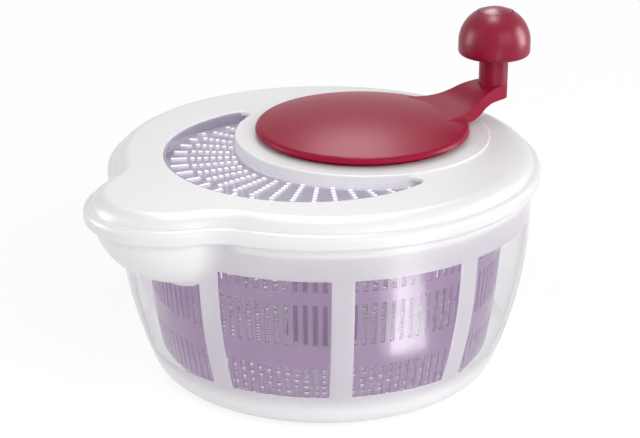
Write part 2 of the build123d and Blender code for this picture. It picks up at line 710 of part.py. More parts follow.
def make_pinion():
    teeth = gear_outline(
        PINION_TEETH, PINION_R + ADDENDUM, PINION_R - DEDENDUM, pi * MODULE / 2 - BACKLASH / 2
    )
    body = gear_body(teeth, GEAR_Z, GEAR_Z + GEAR_W)
    body += rod(SHAFT_R + BUSH_WALL, BUSH_TOP_Z, GEAR_Z)
    body += rod(SHAFT_R, SHAFT_END_Z, GEAR_Z)
    tenon_z = SHAFT_END_Z - TENON_H
    body += square_bar(TENON_SIDE, tenon_z, SHAFT_END_Z)
    return body - rod(SCREW_R + SEAT_GAP, tenon_z, tenon_z + SCREW_BITE)


def make_drive_dog():
    prism = RegularPolygon(DOG_FLATS / 2, 6, major_radius=False)
    body = Pos(0, 0, DOG_Z) * extrude(prism, DOG_H)
    body = chamfer(body.faces().sort_by(Axis.Z)[0].edges(), DOG_LEAD)
    body -= square_bar(TENON_SIDE + 2 * SEAT_GAP, SHAFT_END_Z - TENON_H, SHAFT_END_Z)
    body -= rod(SCREW_R + SEAT_GAP, DOG_Z, SHAFT_END_Z)
    return body - rod(SCREW_HEAD_R + SEAT_GAP, DOG_Z, DOG_SCREW_Z)


def make_dog_screw():
    reach = SHAFT_END_Z - TENON_H - DOG_SCREW_Z + SCREW_BITE
    return Pos(0, 0, DOG_SCREW_Z) * screw(SCREW_R, SCREW_HEAD_R, SCREW_HEAD_H, reach)


# Crank

def dome_form(inset, low):
    """Filled form under the disc's dome down to a height, moved inwards by an inset."""
    side = DISC_R - inset
    centre, edge_centre = at(0, APEX_Z - DOME_R), at(DOME_RUN, DISC_EDGE_Z)
    meet = centre + (edge_centre - centre).normalized() * (DOME_R - inset)
    top, edge = at(0, APEX_Z - inset), at(side, DISC_EDGE_Z)
    return turned(
        [
            arc_about(centre, top, meet),
            arc_about(edge_centre, meet, edge),
            *chain(edge, at(side, low), at(0, low), top),
        ]
    )


def ease(start, end):
    """Level, rising and level again: two arcs in the XZ plane."""
    run, rise = end.X - start.X, end.Z - start.Z
    radius = (run**2 + rise**2) / (4 * rise)
    middle = (start + end) / 2
    return [
        arc_about(start + Vector(0, 0, radius), start, middle),
        arc_about(end - Vector(0, 0, radius), middle, end),
    ]


def arm_plan(inset, tip_x, tip_r):
    """Plan of the arm along +X: a wide root that narrows to a round end, moved inwards by an inset."""
    half = ARM_ROOT_W / 2 - inset
    root = Vector(ARM_ROOT_X, half)
    tip = Vector(tip_x, 0)
    away = root - tip
    turn = atan2(away.Y, away.X) - acos(tip_r / away.length)
    touch = tip + polar(tip_r, turn)
    start = Vector(ARM_ROOT_X - ARM_T, half)
    return make_face(
        [
            *chain(mirrored(touch), mirrored(root), mirrored(start), start, root, touch),
            ThreePointArc(touch, tip + Vector(tip_r, 0), mirrored(touch)),
        ]
    )


def arm_form(inset, tip_x, tip_r):
    """The arm between its rising top and underside, inside its plan."""
    start, stop = ARM_ROOT_X - ARM_T, ARM_LENGTH + 2 * NECK_R
    foot = at(ARM_CREASE_R + ARM_FOOT_GAP, ARM_LOW_Z - inset)
    crest = at(foot.X + ARM_RUN, ARM_TOP_Z - inset)
    under_foot, under_crest = at(DISC_R - ARM_FOOT_GAP, DISC_Z), at(ARM_LENGTH - SCREW_HEAD_R, ARM_UNDER_Z)
    side = make_face(
        [
            *chain(at(start, foot.Z), foot),
            *ease(foot, crest),
            *chain(crest, at(stop, crest.Z), at(stop, ARM_UNDER_Z), under_crest),
            *ease(under_foot, under_crest),
            *chain(under_foot, at(start, DISC_Z), at(start, foot.Z)),
        ]
    )
    plan = Pos(0, 0, DISC_Z) * extrude(arm_plan(inset, tip_x, tip_r), APEX_Z + ARM_RISE)
    return extrude(side, ARM_ROOT_W, both=True) & plan


def make_crank():
    shell = dome_form(0, DISC_Z) - dome_form(DISC_SKIN, DISC_Z)
    inside = tube(SKIRT_R, SKIRT_IN_R, DISC_Z - SKIRT_DEPTH, APEX_Z)
    inside += tube(RING_OUT_R, RING_OUT_R - SKIRT_WALL, RING_SEAT_Z, APEX_Z)
    inside += rod(AXLE_R, SHAFT_END_Z, APEX_Z) + rod(AXLE_R + AXLE_SHOULDER, BUSH_TOP_Z, APEX_Z)
    places = [CRANK_AXIS.inverse() * p for p in screw_places(GEAR_SCREWS, GEAR_SCREW_R)]
    inside += [p * rod(SMALL_SCREW_R + SCREW_BOSS_WALL, RING_SEAT_Z, APEX_Z) for p in places]
    inside &= dome_form(DISC_SKIN / 2, SHAFT_END_Z)
    inside -= [p * rod(SMALL_SCREW_R + SEAT_GAP, RING_SEAT_Z, RING_SEAT_Z + SMALL_BITE) for p in places]
    inside -= rod(SCREW_R + SEAT_GAP, SHAFT_END_Z, SHAFT_END_Z + SCREW_BITE)
    arm = arm_form(0, ARM_LENGTH, NECK_R)
    arm -= arm_form(ARM_SKIN, ARM_LENGTH - ARM_SOLID, NECK_R - ARM_SKIN)
    arm += Pos(ARM_LENGTH, 0, 0) * rod(NECK_R, ARM_UNDER_Z, ARM_TOP_Z)
    arm -= Pos(ARM_LENGTH, 0, 0) * rod(TENON_R + SEAT_GAP, ARM_UNDER_Z + ARM_SKIN, ARM_TOP_Z)
    arm -= Pos(ARM_LENGTH, 0, 0) * rod(SCREW_R + SEAT_GAP, ARM_UNDER_Z, ARM_TOP_Z)
    arm = Rot(0, 0, ARM_TURN) * arm - dome_form(DISC_SKIN, DISC_Z)
    return CRANK_AXIS * (shell + arm + inside)


def make_axle_washer():
    low = SHAFT_END_Z - WASHER_T
    return CRANK_AXIS * tube(AXLE_R + WASHER_OVERLAP, SCREW_R + SEAT_GAP, low, SHAFT_END_Z)


def make_axle_screw():
    body = screw(SCREW_R, SCREW_HEAD_R, SCREW_HEAD_H, WASHER_T + SCREW_BITE)
    return CRANK_AXIS * Pos(0, 0, SHAFT_END_Z - WASHER_T) * body


# Knob

def make_knob_post():
    body = rod(NECK_R, ARM_TOP_Z, NECK_TOP_Z) + rod(SPIGOT_R, NECK_TOP_Z, SPIGOT_TOP_Z)
    low = ARM_UNDER_Z + ARM_SKIN
    body += rod(TENON_R, low, ARM_TOP_Z)
    body -= rod(SCREW_R + SEAT_GAP, low, low + SCREW_BITE)
    body -= rod(SCREW_R + SEAT_GAP, SPIGOT_TOP_Z - SCREW_BITE, SPIGOT_TOP_Z)
    return KNOB_AXIS * body


def make_post_screw():
    body = screw(SCREW_R, SCREW_HEAD_R, SCREW_HEAD_H, ARM_SKIN + SCREW_BITE)
    return KNOB_AXIS * Pos(0, 0, ARM_UNDER_Z) * body


def knob_form():
    """Filled mushroom form of the knob."""
    low, shoulder = NECK_TOP_Z, NECK_TOP_Z + KNOB_SIDE_H
    rise = KNOB_H - KNOB_SIDE_H
    angles = [pi / 2 * i / CROWN_STEPS for i in range(CROWN_STEPS + 1)]
    oval = [at(KNOB_R * cos(a), shoulder + rise * sin(a)) for a in angles]
    crown = Spline(oval, tangents=(Vector(0, 0, 1), Vector(-1, 0, 0)))
    heel, foot = at(KNOB_R, low + KNOB_EDGE_R), at(KNOB_R - KNOB_EDGE_R, low)
    return turned(
        [
            crown,
            *chain(at(0, KNOB_TOP_Z), at(0, low), foot),
            arc_about(at(KNOB_R - KNOB_EDGE_R, low + KNOB_EDGE_R), foot, heel),
            *chain(heel, at(KNOB_R, shoulder)),
        ]
    )


def make_knob():
    body = knob_form() - rod(KNOB_CAP_R + SEAT_GAP, KNOB_CAP_Z, KNOB_TOP_Z)
    body -= rod(KNOB_POCKET_R, SPIGOT_TOP_Z - END_PLAY, KNOB_CAP_Z)
    return KNOB_AXIS * (body - rod(SPIGOT_R + RUN_GAP, NECK_TOP_Z, SPIGOT_TOP_Z))


def make_knob_cap():
    return KNOB_AXIS * (knob_form() & rod(KNOB_CAP_R, KNOB_CAP_Z, KNOB_TOP_Z))


def make_knob_washer():
    high = SPIGOT_TOP_Z + WASHER_T
    return KNOB_AXIS * tube(KNOB_WASHER_R, SCREW_R + SEAT_GAP, SPIGOT_TOP_Z, high)


def make_knob_screw():
    body = Rot(180, 0, 0) * screw(SCREW_R, SCREW_HEAD_R, SCREW_HEAD_H, WASHER_T + SCREW_BITE)
    return KNOB_AXIS * Pos(0, 0, SPIGOT_TOP_Z + WASHER_T) * body


NODES = {
    "bowl": make_bowl,
    "foot_ring": make_foot_ring,
    "pivot_pin": make_pivot_pin,
    "pivot_bush": make_pivot_bush,
    "basket": make_basket,
    "basket_column": make_basket_column,
    "lid": make_lid,
    "inlet_sieve": make_inlet_sieve,
    "gear_plate": make_gear_plate,
    "plate_screws": make_plate_screws,
    "axle_bush": make_axle_bush,
    "pinion_bush": make_pinion_bush,
    "pinion": make_pinion,
    "drive_dog": make_drive_dog,
    "dog_screw": make_dog_screw,
    "crank": make_crank,
    "ring_gear": make_ring_gear,
    "gear_screws": make_gear_screws,
    "axle_washer": make_axle_washer,
    "axle_screw": make_axle_screw,
    "knob_post": make_knob_post,
    "post_screw": make_post_screw,
    "knob": make_knob,
    "knob_cap": make_knob_cap,
    "knob_washer": make_knob_washer,
    "knob_screw": make_knob_screw,
}

if __name__ == "__main__":
    os.makedirs("parts", exist_ok=True)
    for name, make in NODES.items():
        export_step(make(), f"parts/{name}.step")
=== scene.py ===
from math import acos, asin, atan2, cos, pi, radians, sin, sqrt

import bmesh
import bpy
from mathutils import Matrix, Vector
from mathutils.geometry import delaunay_2d_cdt


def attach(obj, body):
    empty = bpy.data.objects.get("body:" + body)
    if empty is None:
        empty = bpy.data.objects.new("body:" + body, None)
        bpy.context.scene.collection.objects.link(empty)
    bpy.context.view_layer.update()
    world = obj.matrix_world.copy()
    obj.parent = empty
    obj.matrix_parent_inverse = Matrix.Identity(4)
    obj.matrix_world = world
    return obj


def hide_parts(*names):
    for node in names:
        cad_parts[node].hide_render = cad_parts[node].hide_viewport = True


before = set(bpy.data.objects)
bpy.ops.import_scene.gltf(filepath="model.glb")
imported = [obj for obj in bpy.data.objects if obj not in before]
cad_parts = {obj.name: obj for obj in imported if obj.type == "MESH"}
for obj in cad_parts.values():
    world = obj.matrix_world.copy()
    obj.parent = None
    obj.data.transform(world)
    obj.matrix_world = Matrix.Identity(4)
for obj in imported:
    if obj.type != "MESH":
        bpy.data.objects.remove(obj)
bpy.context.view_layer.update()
scene = bpy.context.scene

# Lengths are millimetres down to the camera's, as in the part's source. The frame is in metres.
MM = 0.001

# Bowl
BOWL_H = 118.0
BOWL_R = 121.6
WIDE_Z = 104.0
SIDE_R = 248.0
CORNER_R = 15.0
WALL = 2.2
FLOOR_T = 3.0
UNDER_Z = 1.0
FLOOR_Z = UNDER_Z + FLOOR_T
FOOT_RING_IN, FOOT_RING_OUT, FOOT_RING_SINK = 77.95, 86.05, 1.2
PIVOT_BOSS_R, PIVOT_BOSS_Z = 7.0, 9.0
PIVOT_HOLE_R, PIVOT_HOLE_Z = 3.05, 2.5

# Clear windows
WINDOWS = 10
WINDOW_LOW, WINDOW_HIGH = 24.0, 100.0
WINDOW_BAR = 11.5
WINDOW_CORNER = 1.2
WINDOW_DEPTH = 0.3
WINDOW_EDGE = 0.5
FROSTED_SLOT, CLEAR_SLOT = 0, 1

# Cloudiness of the frosted plastic: thick at the foot and in the scoop, thinner in the side
FOOT_CLOUD_Z = 14.0
SCOOP_CLOUD_X, SIDE_CLOUD_X = -124.0, -112.0
THICK_CLOUD, WALL_CLOUD = 1.0, 0.78
THICK_GLOW, WALL_GLOW = 0.12, 0.42
INSIDE_GLOW = 0.85

# Spout. The window under it stops SCOOP_GAP below the scoop
SPOUT_REACH = 33.0
SPOUT_LOBE_R = 43.6
SPOUT_BLEND_R = 30.0
SPOUT_DEPTH = 33.0
SPOUT_SINK = 0.6
SPOUT_SOFTNESS = 2.5
SCOOP_GAP = 1.0

# Basket. Its profile is the wall's outside from the floor up, as (radius, height, a slot starts here)
BASKET_PROFILE = (
    (95.0, 13.0, False),
    (98.0, 18.0, True),
    (101.6, 39.0, False),
    (101.8, 40.0, False),
    (102.9, 53.0, True),
    (105.1, 78.5, False),
    (105.2, 79.5, False),
    (105.5, 86.0, True),
    (106.26, 107.0, False),
    (106.3, 108.0, False),
)
BASKET_RIM = ((106.3, 108.0), (110.0, 108.0), (110.0, 110.0), (104.5, 110.0), (104.5, 108.0))
SLOTS = 120
SLOT_SHARE = 0.5
SLOT_COLUMN = 1
BASKET_WALL = 1.8
BASKET_FLOOR_Z, BASKET_FLOOR_TOP = 14.2, 15.0
BASKET_HUB_R = 8.9
FLOOR_RAYS = 60
FLOOR_RINGS = 9
FLOOR_HOLE = 3.4
FLOOR_HOLE_SHARE = 0.62
FLOOR_HOLE_STEP = 7.0
FLOOR_HOLE_LAST_R = 90.0

# Sieve in the lid. A face whose normal rises less than UPRIGHT is the side of a hole
SIEVE_T = 1.5
UPRIGHT = 0.5

# Knob, from its foot up
KNOB_R = 21.78
KNOB_SIDE_H = 8.0
KNOB_DOME_H = 21.4
KNOB_EDGE_R = 2.5
KNOB_BORE_R, KNOB_BORE_H = 6.05, 14.7
KNOB_POCKET_R = 8.8
KNOB_SEAT_R, KNOB_SEAT_H = 10.75, 24.25
CAP_R, CAP_SINK = 10.2, 0.3

# Mesh fineness: lengths, counts of steps, and angles in degrees past which an edge is sharp
COLUMNS = 180
ROW = 2.6
OUTLINE_STEP = 2.5
POINT_GAP = 1.1
CORNER_STEPS = 3
SCOOP_HALVINGS = 40
UNDER_RING_R = 40.0
FLOOR_RINGS_R = (60.0, 30.0)
FLOOR_ARC_STEPS = 5
KNOB_COPIES = 72
EDGE_STEPS, DOME_STEPS = 4, 14
WELD = 0.02
SAME_LEVEL = 1e-3
SHEET_EPSILON, TILE_EPSILON = 1e-4, 1e-5
HULL_TRIANGLES, INSIDE_TRIANGLES = 0, 1
BOWL_SHARP, TURNED_SHARP = 35, 30

# Camera, fitted to the photograph, which is 640 pixels wide
PHOTO_WIDTH = 640
FOCAL_PIXELS = 1858
SENSOR = 36.0
CAMERA_AZIMUTH = -40.8
CAMERA_PITCH = 21.59
CAMERA_DISTANCE = 1100.0
CAMERA_SIDE = -2.35
TARGET_Z = 87.6

# Studio, in metres. The floor lights as a pale grey, and is seen as a darker grey with a white glow
CLIP_START, CLIP_END = 0.01, 50
STUDIO_FLOOR_R, STUDIO_FLOOR_SIDES = 6.0, 96
FLOOR_LIT, FLOOR_SEEN, FLOOR_GLOW = 0.86, 0.28, 0.78
WORLD_LIGHT, WORLD_SEEN = 0.64, 1.0
GLOSS_POWER = 5.0
BOUNCES, CLEAR_BOUNCES = 16, 32

# Lamps, and cards that show only in the gloss: degrees to the camera's right, distance from the axis,
# height, width, length, watts and the height on the axis that they face
LAMPS = {
    "front_box": (36, 1.7, 0.9, 1.4, 1.1, 15, 0.1),
    "left_box": (-70, 1.6, 1.0, 1.0, 1.0, 2.5, 0.1),
}
CARDS = {
    "back_card": (180, 1.05, 1.5, 0.5, 0.9, 24, 0.1),
    "top_card": (180, 0.1, 1.4, 0.35, 0.35, 11, 0.1),
    "right_card": (96, 1.0, 0.3, 0.4, 0.6, 13, 0.1),
    "left_card": (-96, 1.0, 0.3, 0.4, 0.6, 7, 0.1),
    "low_card": (34, 0.24, 0.06, 0.045, 0.22, 0.2, 0.4),
}


def new_object(name, data):
    made = bpy.data.objects.new(name, data)
    scene.collection.objects.link(made)
    return made


def mesh_of(name, points, faces):
    """Mesh of points in millimetres, with its faces as they are given."""
    mesh = bpy.data.meshes.new(name)
    mesh.from_pydata([Vector(p) * MM for p in points], [], faces)
    return mesh


def weld(mesh):
    work = bmesh.new()
    work.from_mesh(mesh)
    bmesh.ops.remove_doubles(work, verts=work.verts, dist=WELD * MM)
    work.to_mesh(mesh)
    work.free()


def shade(mesh, angle):
    mesh.shade_smooth()
    mesh.set_sharp_from_angle(angle=radians(angle))


# Forms of the bowl

def side_radius(inset, z):
    """Radius of the round side at a height, moved inwards by an inset."""
    drop = max(WIDE_Z - z, 0)
    return BOWL_R - SIDE_R + sqrt((SIDE_R - inset) ** 2 - drop**2)


def lobed_radius(main, lobe, lobe_x, blend, angle):
    """Distance to a round outline with one blended lobe, at an angle from the lobe's middle."""
    reach = main + blend
    turn = acos((reach**2 + lobe_x**2 - (lobe + blend) ** 2) / (2 * lobe_x * reach))
    angle = abs(angle)
    if angle >= turn:
        return main
    hollow = Vector((reach * cos(turn), reach * sin(turn)))
    middle = Vector((lobe_x, 0))
    touch = middle + (hollow - middle).normalized() * lobe
    if angle <= atan2(touch.y, touch.x):
        return lobe_x * cos(angle) + sqrt(lobe**2 - (lobe_x * sin(angle)) ** 2)
    along = hollow.x * cos(angle) + hollow.y * sin(angle)
    return along - sqrt(blend**2 - hollow.length_squared + along**2)


def spout_radius(inset, z, angle):
    """Distance to the scoop of the spout at a height and an angle from its middle, or 0 below it."""
    depth = SPOUT_DEPTH - inset
    if BOWL_H - z >= depth:
        return 0
    fall = asin((BOWL_H - z) / depth)
    sink = SPOUT_SINK + 2 * WALL * sin(fall)
    main = side_radius(inset, z) - sink
    reach = sink / 2 + (SPOUT_REACH - sink / 2) * cos(fall)
    lobe = (SPOUT_LOBE_R - inset) * (1 + cos(fall)) / 2
    return lobed_radius(main, lobe, main + reach - lobe, SPOUT_BLEND_R, angle)


def soft_max(a, b, width):
    """The larger of two values, with a rounded change from one to the other."""
    mix = min(max(0.5 + 0.5 * (b - a) / width, 0), 1)
    return a + (b - a) * mix + width * mix * (1 - mix) / 2


def wall_profile(inset, floor_z):
    """A wall's section: inset, radius and centre of its corner, turn and height where its side ends."""
    curve, corner = SIDE_R - inset, CORNER_R - inset
    centre = Vector((BOWL_R - SIDE_R, WIDE_Z))
    knee_z = floor_z + corner
    knee = Vector((centre.x + sqrt((curve - corner) ** 2 - (WIDE_Z - knee_z) ** 2), knee_z))
    heel_turn = atan2(knee.y - centre.y, knee.x - centre.x)
    heel_z = centre.y + curve * sin(heel_turn)
    return inset, corner, knee, heel_turn, heel_z


OUTSIDE = wall_profile(0, UNDER_Z)
INSIDE = wall_profile(WALL, FLOOR_Z)
HEEL_TURN, HEEL_Z = OUTSIDE[-2:]

# Lengths down the outside of the wall: its side, its corner and both
SIDE_RUN = BOWL_H - HEEL_Z
CORNER_RUN = CORNER_R * (pi / 2 + HEEL_TURN)
WALL_RUN = SIDE_RUN + CORNER_RUN


def wall_point(profile, below, turn, dent=0.0):
    """Point of the bowl's wall at a distance below the rim and an angle round the bowl."""
    inset, corner, knee, heel_turn, heel_z = profile
    if below <= SIDE_RUN:
        z = BOWL_H - below * (BOWL_H - heel_z) / SIDE_RUN
        radius = side_radius(inset, z) - dent
        scoop = spout_radius(inset, z, (turn + pi) % (2 * pi) - pi)
        if scoop > 0:
            radius = soft_max(radius, scoop, SPOUT_SOFTNESS)
    else:
        share = (below - SIDE_RUN) / CORNER_RUN
        slope = heel_turn + (-pi / 2 - heel_turn) * share
        radius, z = knee.x + corner * cos(slope), knee.y + corner * sin(slope)
    return (-radius * cos(turn), -radius * sin(turn), z)


def window_outline(inset):
    """Points of one window, as (angle from its middle, distance below the rim), narrower at the foot."""
    half = pi / WINDOWS
    low, high = WINDOW_LOW + inset, WINDOW_HIGH - inset

    def edge(z):
        return side_radius(0, z) * half - WINDOW_BAR / 2 - inset

    corner = WINDOW_CORNER - inset
    turns = [pi / 2 * i / CORNER_STEPS for i in range(CORNER_STEPS + 1)]
    top = [(edge(high) - corner + corner * cos(t), high - corner + corner * sin(t)) for t in turns]
    foot = [(edge(low) - corner + corner * sin(t), low + corner - corner * cos(t)) for t in turns]
    steps = int((high - low) / OUTLINE_STEP)
    side = [low + corner + (high - low - 2 * corner) * i / steps for i in range(1, steps)]
    right = foot + [(edge(z), z) for z in side] + top
    span = int(2 * top[-1][0] / OUTLINE_STEP)
    level = [(top[-1][0] * (1 - 2 * i / span), high) for i in range(1, span)]
    span = int(2 * foot[0][0] / OUTLINE_STEP)
    floor = [(foot[0][0] * (2 * i / span - 1), low) for i in range(1, span)]
    rows = right + level + [(-x, z) for x, z in reversed(right)] + floor
    return [(x / side_radius(0, z), BOWL_H - z) for x, z in reversed(rows)]


def scoop_foot(turn):
    """Height at which the scoop leaves the round side, at an angle from its middle."""
    low, high = BOWL_H - SPOUT_DEPTH, BOWL_H
    for _ in range(SCOOP_HALVINGS):
        middle = (low + high) / 2
        if spout_radius(0, middle, turn) > side_radius(0, middle):
            high = middle
        else:
            low = middle
    return high


def spout_window(inset):
    """The outline of the window under the spout, cut off by the scoop's foot."""
    gap = SCOOP_GAP + inset
    return [(turn, max(below, BOWL_H - scoop_foot(turn) + gap)) for turn, below in window_outline(inset)]


def bowl_sheet():
    """Triangles of the wall, unrolled: points, triangles, those in a clear window and dented points."""
    seeds, loops = [], []
    for i in range(WINDOWS):
        # The sheet starts in the bar after the spout's window, so that window comes last
        middle = 2 * pi * (i or WINDOWS) / WINDOWS
        for inset in (0, WINDOW_EDGE):
            outline = spout_window(inset) if i == 0 else window_outline(inset)
            loops.append(list(range(len(seeds), len(seeds) + len(outline))))
            seeds += [Vector(((middle + turn) * BOWL_R, below)) for turn, below in outline]

    def cell(p):
        return round(p.x / POINT_GAP), round(p.y / POINT_GAP)

    near = {}
    for p in seeds:
        near.setdefault(cell(p), []).append(p)

    def crowded(p):
        cx, cy = cell(p)
        around = [q for dx in (-1, 0, 1) for dy in (-1, 0, 1) for q in near.get((cx + dx, cy + dy), [])]
        return any((p - q).length < POINT_GAP for q in around)

    side_rows, corner_rows = int(SIDE_RUN / ROW), int(CORNER_RUN / ROW)
    heights = [SIDE_RUN * i / side_rows for i in range(side_rows)]
    heights += [SIDE_RUN + CORNER_RUN * i / corner_rows for i in range(corner_rows + 1)]
    first = pi / WINDOWS
    for below in heights:
        for column in range(COLUMNS + 1):
            p = Vector(((first + 2 * pi * column / COLUMNS) * BOWL_R, below))
            if not crowded(p):
                seeds.append(p)
    points, _, faces, _, _, sources = delaunay_2d_cdt(seeds, [], loops, HULL_TRIANGLES, SHEET_EPSILON)
    # Every second loop is the inner edge of a window's rim
    clear = [any(loop % 2 for loop in source) for source in sources]
    dented = {v for face, inside in zip(faces, clear) if inside for v in face}
    return [(p.x / BOWL_R, p.y) for p in points], faces, clear, dented


def make_bowl(finishes):
    """The bowl's shell: wall with windows and spout, floor, groove for the soft ring and pivot boss."""
    flat, triangles, clear, dented = bowl_sheet()
    inner = len(flat)
    points = []
    for i, (turn, below) in enumerate(flat):
        points.append(wall_point(OUTSIDE, below, turn, WINDOW_DEPTH if i in dented else 0))
    points += [wall_point(INSIDE, below, turn) for turn, below in flat]
    faces, materials = [], []
    for (a, b, c), window in zip(triangles, clear):
        faces += [(a, c, b), (a + inner, b + inner, c + inner)]
        materials += [CLEAR_SLOT if window else FROSTED_SLOT, CLEAR_SLOT]

    def edge_loop(level):
        row = [i for i, (_, below) in enumerate(flat) if abs(below - level) < SAME_LEVEL]
        return sorted(row, key=lambda i: flat[i][0])

    rim, foot = edge_loop(0), edge_loop(WALL_RUN)
    for a, b in zip(rim, rim[1:]):
        faces.append((a, b, b + inner, a + inner))
        materials.append(FROSTED_SLOT)
    columns = [flat[i][0] for i in foot]

    def turned_floor(last, steps, outward):
        """Rings of faces from the wall's foot to the axis, through steps as (radius, height)."""
        for r, z in steps:
            ring = range(len(points), len(points) + len(columns))
            points.extend((-r * cos(turn), -r * sin(turn), z) for turn in columns)
            for k in range(len(columns) - 1):
                quad = (last[k], last[k + 1], ring[k + 1], ring[k])
                faces.append(quad[::-1] if outward else quad)
                materials.append(CLEAR_SLOT)
            last = ring

    groove_z = UNDER_Z + FOOT_RING_SINK
    under = [(FOOT_RING_OUT, UNDER_Z), (FOOT_RING_OUT, groove_z), (FOOT_RING_IN, groove_z)]
    under += [(FOOT_RING_IN, UNDER_Z), (UNDER_RING_R, UNDER_Z), (0, UNDER_Z)]
    over = [(r, FLOOR_Z) for r in (*FLOOR_RINGS_R, PIVOT_BOSS_R)] + [(PIVOT_BOSS_R, PIVOT_BOSS_Z)]
    over += [(PIVOT_HOLE_R, PIVOT_BOSS_Z), (PIVOT_HOLE_R, PIVOT_HOLE_Z), (0, PIVOT_HOLE_Z)]
    turned_floor(foot, under, outward=True)
    turned_floor([i + inner for i in foot], over, outward=False)
    mesh = mesh_of("bowl_shell", points, faces)
    for finish in finishes:
        mesh.materials.append(finish)
    mesh.polygons.foreach_set("material_index", materials)
    weld(mesh)
    shade(mesh, BOWL_SHARP)
    return new_object("bowl_shell", mesh)


# Materials

def grey(value):
    return (value, value, value, 1)


def material(name, **sockets):
    """Material, its node tree and its main shader, with values for sockets by their names."""
    made = bpy.data.materials.new(name)
    made.use_nodes = True
    skin = made.node_tree.nodes["Principled BSDF"]
    for socket, value in sockets.items():
        skin.inputs[socket.replace("_", " ")].default_value = value
    return made, made.node_tree, skin


def ramp(tree, value, start, end, low, high):
    """A value mapped from one span to another, held at its ends."""
    made = tree.nodes.new("ShaderNodeMapRange")
    for socket, number in (("From Min", start), ("From Max", end), ("To Min", low), ("To Max", high)):
        made.inputs[socket].default_value = number
    tree.links.new(value, made.inputs["Value"])
    return made.outputs["Result"]


def larger(tree, one, other):
    """The larger of two values."""
    made = tree.nodes.new("ShaderNodeMath")
    made.operation = "MAXIMUM"
    tree.links.new(one, made.inputs[0])
    tree.links.new(other, made.inputs[1])
    return made.outputs[0]


def mixed(tree, share, first, second):
    """Two shaders mixed, by a number or by a node's output."""
    made = tree.nodes.new("ShaderNodeMixShader")
    if isinstance(share, bpy.types.NodeSocket):
        tree.links.new(share, made.inputs["Fac"])
    else:
        made.inputs["Fac"].default_value = share
    tree.links.new(first.outputs[0], made.inputs[1])
    tree.links.new(second.outputs[0], made.inputs[2])
    return made


def moulded_grain(tree, skin, scale, strength, distance):
    """Fine uneven surface of moulded plastic, as a bump."""
    where = tree.nodes.new("ShaderNodeTexCoord")
    grain = tree.nodes.new("ShaderNodeTexNoise")
    grain.inputs["Scale"].default_value = scale
    grain.inputs["Detail"].default_value = 3.0
    bump = tree.nodes.new("ShaderNodeBump")
    bump.inputs["Strength"].default_value = strength
    bump.inputs["Distance"].default_value = distance
    tree.links.new(where.outputs["Object"], grain.inputs["Vector"])
    tree.links.new(grain.outputs["Fac"], bump.inputs["Height"])
    tree.links.new(bump.outputs["Normal"], skin.inputs["Normal"])
    return where


def uneven_gloss(tree, skin, where, scale, low, high):
    """Slow drift of the roughness over the surface."""
    drift = tree.nodes.new("ShaderNodeTexNoise")
    drift.inputs["Scale"].default_value = scale
    tree.links.new(where.outputs["Object"], drift.inputs["Vector"])
    tree.links.new(ramp(tree, drift.outputs["Fac"], 0, 1, low, high), skin.inputs["Roughness"])


def scattered(tree, colour, through_share):
    """Light that a cloudy plastic scatters back and lets through, as one shader."""
    back = tree.nodes.new("ShaderNodeBsdfDiffuse")
    through = tree.nodes.new("ShaderNodeBsdfTranslucent")
    for node in (back, through):
        node.inputs["Color"].default_value = colour
    return mixed(tree, through_share, back, through)


def glossed(tree, under, roughness, head_on):
    """A gloss over a shader that grows at a low angle, joined to the material's output."""
    mirror = tree.nodes.new("ShaderNodeBsdfGlossy")
    mirror.inputs["Roughness"].default_value = roughness
    edge_on = tree.nodes.new("ShaderNodeLayerWeight")
    rise = tree.nodes.new("ShaderNodeMath")
    rise.operation = "POWER"
    rise.inputs[1].default_value = GLOSS_POWER
    tree.links.new(edge_on.outputs["Facing"], rise.inputs[0])
    face = mixed(tree, ramp(tree, rise.outputs[0], 0, 1, head_on, 1), under, mirror)
    tree.links.new(face.outputs[0], tree.nodes["Material Output"].inputs["Surface"])


def frosted_plastic():
    """Cloudy polypropylene, whiter at the foot and in the scoop, with a blurred view inside."""
    made, tree, skin = material(
        "frosted_plastic", Base_Color=grey(1), Roughness=0.42, IOR=1.3, Transmission_Weight=1.0
    )
    where = tree.nodes.new("ShaderNodeTexCoord")
    place = tree.nodes.new("ShaderNodeSeparateXYZ")
    tree.links.new(where.outputs["Object"], place.inputs[0])
    at_foot = ramp(tree, place.outputs["Z"], FOOT_CLOUD_Z * MM, WINDOW_LOW * MM, 1, 0)
    in_scoop = ramp(tree, place.outputs["X"], SCOOP_CLOUD_X * MM, SIDE_CLOUD_X * MM, 1, 0)
    thick = larger(tree, at_foot, in_scoop)
    side = tree.nodes.new("ShaderNodeNewGeometry")
    outside_glow = ramp(tree, thick, 0, 1, WALL_GLOW, THICK_GLOW)
    inside_glow = ramp(tree, side.outputs["Backfacing"], 0, 1, 0, INSIDE_GLOW)
    cloud = scattered(tree, grey(0.96), larger(tree, outside_glow, inside_glow))
    body = mixed(tree, ramp(tree, thick, 0, 1, WALL_CLOUD, THICK_CLOUD), skin, cloud)
    glossed(tree, body, roughness=0.35, head_on=0.03)
    return made


def see_through(name, tint, cloud_colour, cloud_share, roughness):
    """Clear plastic that lets straight rays through, tinted, with some cloud and a gloss."""
    made, tree, skin = material(name)
    tree.nodes.remove(skin)
    through = tree.nodes.new("ShaderNodeBsdfTransparent")
    through.inputs["Color"].default_value = tint
    cloud = scattered(tree, cloud_colour, through_share=0.5)
    glossed(tree, mixed(tree, cloud_share, through, cloud), roughness, head_on=0.04)
    return made


def clear_plastic():
    tint, cloud = (0.985, 0.985, 0.99, 1), (0.95, 0.95, 0.96, 1)
    return see_through("clear_plastic", tint, cloud, cloud_share=0.04, roughness=0.18)


def basket_plastic():
    tint, cloud = (0.85, 0.73, 0.88, 1), (0.62, 0.46, 0.67, 1)
    return see_through("lavender_plastic", tint, cloud, cloud_share=0.5, roughness=0.2)


